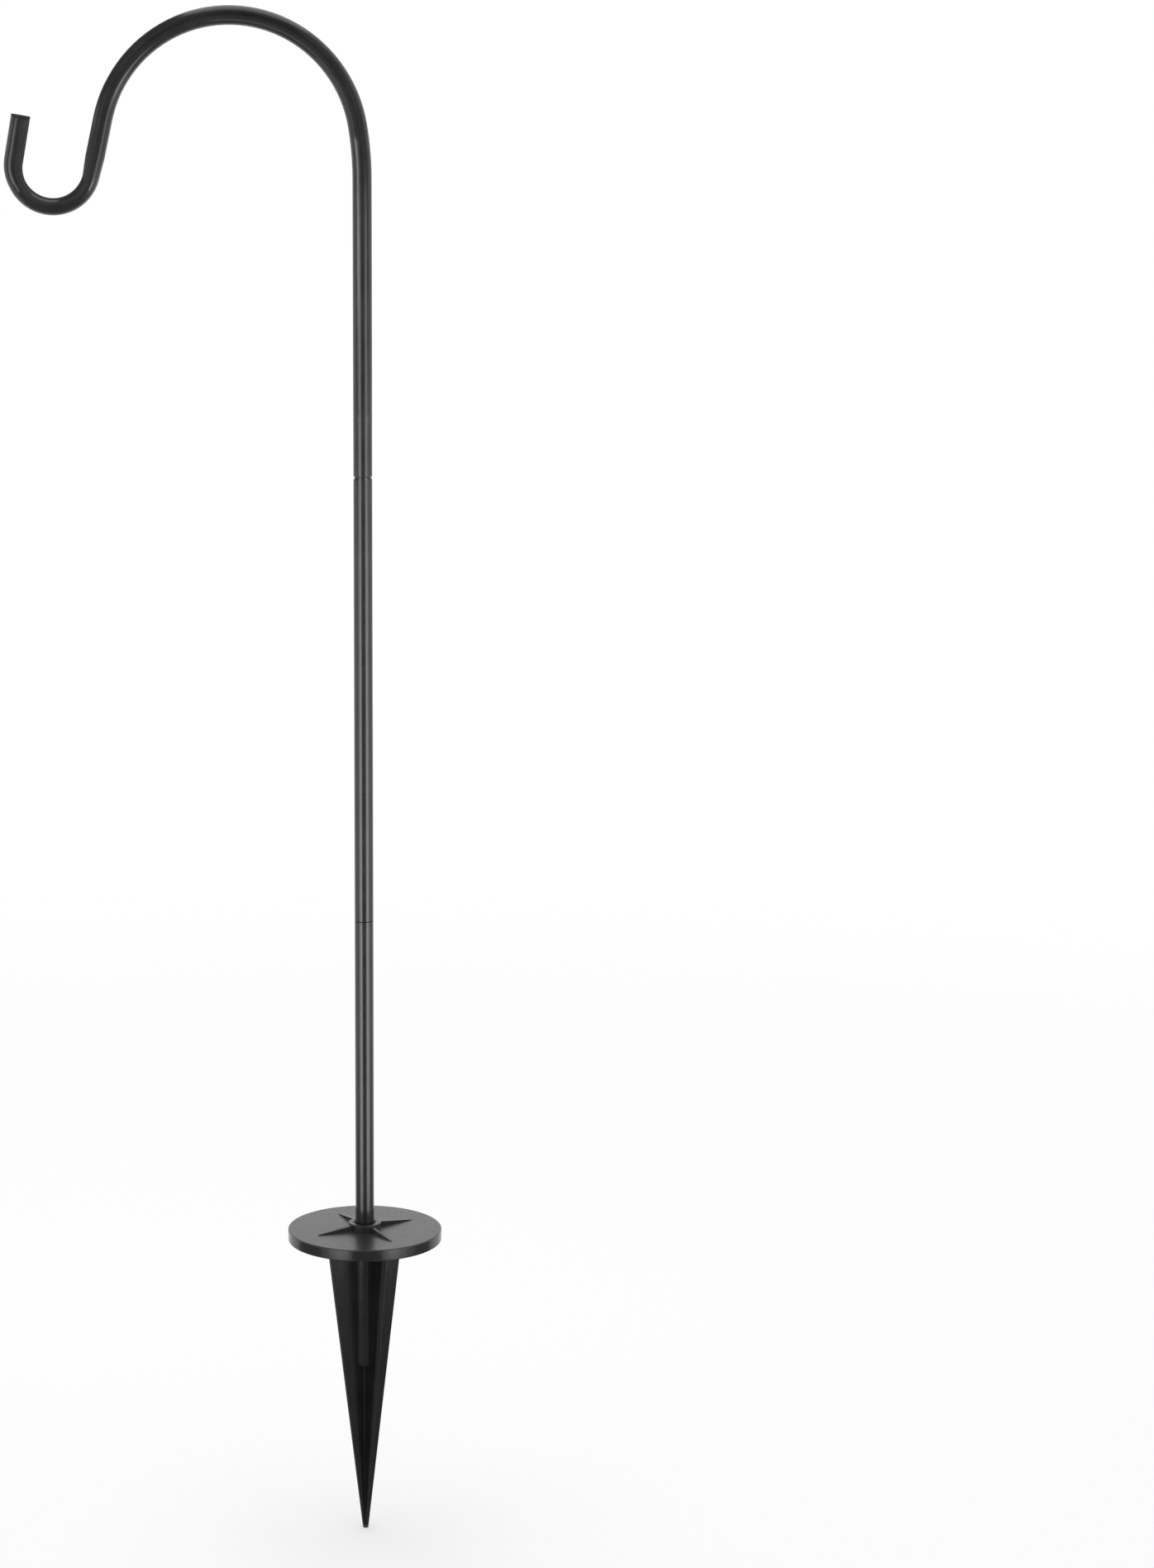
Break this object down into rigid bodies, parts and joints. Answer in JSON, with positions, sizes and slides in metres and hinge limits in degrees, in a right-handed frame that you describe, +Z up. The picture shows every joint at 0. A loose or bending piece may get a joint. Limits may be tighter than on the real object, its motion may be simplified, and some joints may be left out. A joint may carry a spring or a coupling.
{
  "type": "shepherds hook",
  "caption": "Garden hanging hook: a bent steel tube on a take-apart pole, pushed into a moulded stake with a round disc, gussets and a finned spike.",
  "frame": {"origin": "on the pole's axis at ground level, in the plane of the underside of the stake's disc", "axes": "+Z up the pole, the hook reaches out towards -X, the hook lies in the XZ plane"},
  "size_m": [0.2712, 0.0996, 0.985],
  "materials": {
    "coated_steel": "satin black powder coat",
    "spigot_steel": "black oxide",
    "plug_plastic": "moulded black polyethylene",
    "stake_plastic": "moulded black polypropylene, fine texture with a soft sheen"
  },
  "bodies": {
    "stake": {"ground_stake": "stake_plastic"},
    "lower_section": {"lower_tube": "coated_steel"},
    "lower_coupling": {"lower_spigot": "spigot_steel"},
    "middle_section": {"middle_tube": "coated_steel"},
    "upper_coupling": {"upper_spigot": "spigot_steel"},
    "hook_section": {"hook_tube": "coated_steel", "tip_plug": "plug_plastic"}
  },
  "joints": [
    {"name": "pole_pull_out", "type": "slide", "parent": "stake", "child": "lower_section", "axis": [0, 0, 1], "range_m": [0, 0.11]},
    {"name": "middle_swivel", "type": "hinge", "parent": "lower_section", "child": "lower_coupling", "pos_m": [0, 0, 0.2117], "axis": [0, 0, 1], "continuous": true},
    {"name": "middle_lift_off", "type": "slide", "parent": "lower_coupling", "child": "middle_section", "axis": [0, 0, 1], "range_m": [0, 0.04]},
    {"name": "hook_swivel", "type": "hinge", "parent": "middle_section", "child": "upper_coupling", "pos_m": [0, 0, 0.4968], "axis": [0, 0, 1], "continuous": true},
    {"name": "hook_lift_off", "type": "slide", "parent": "upper_coupling", "child": "hook_section", "axis": [0, 0, 1], "range_m": [0, 0.04]}
  ]
}
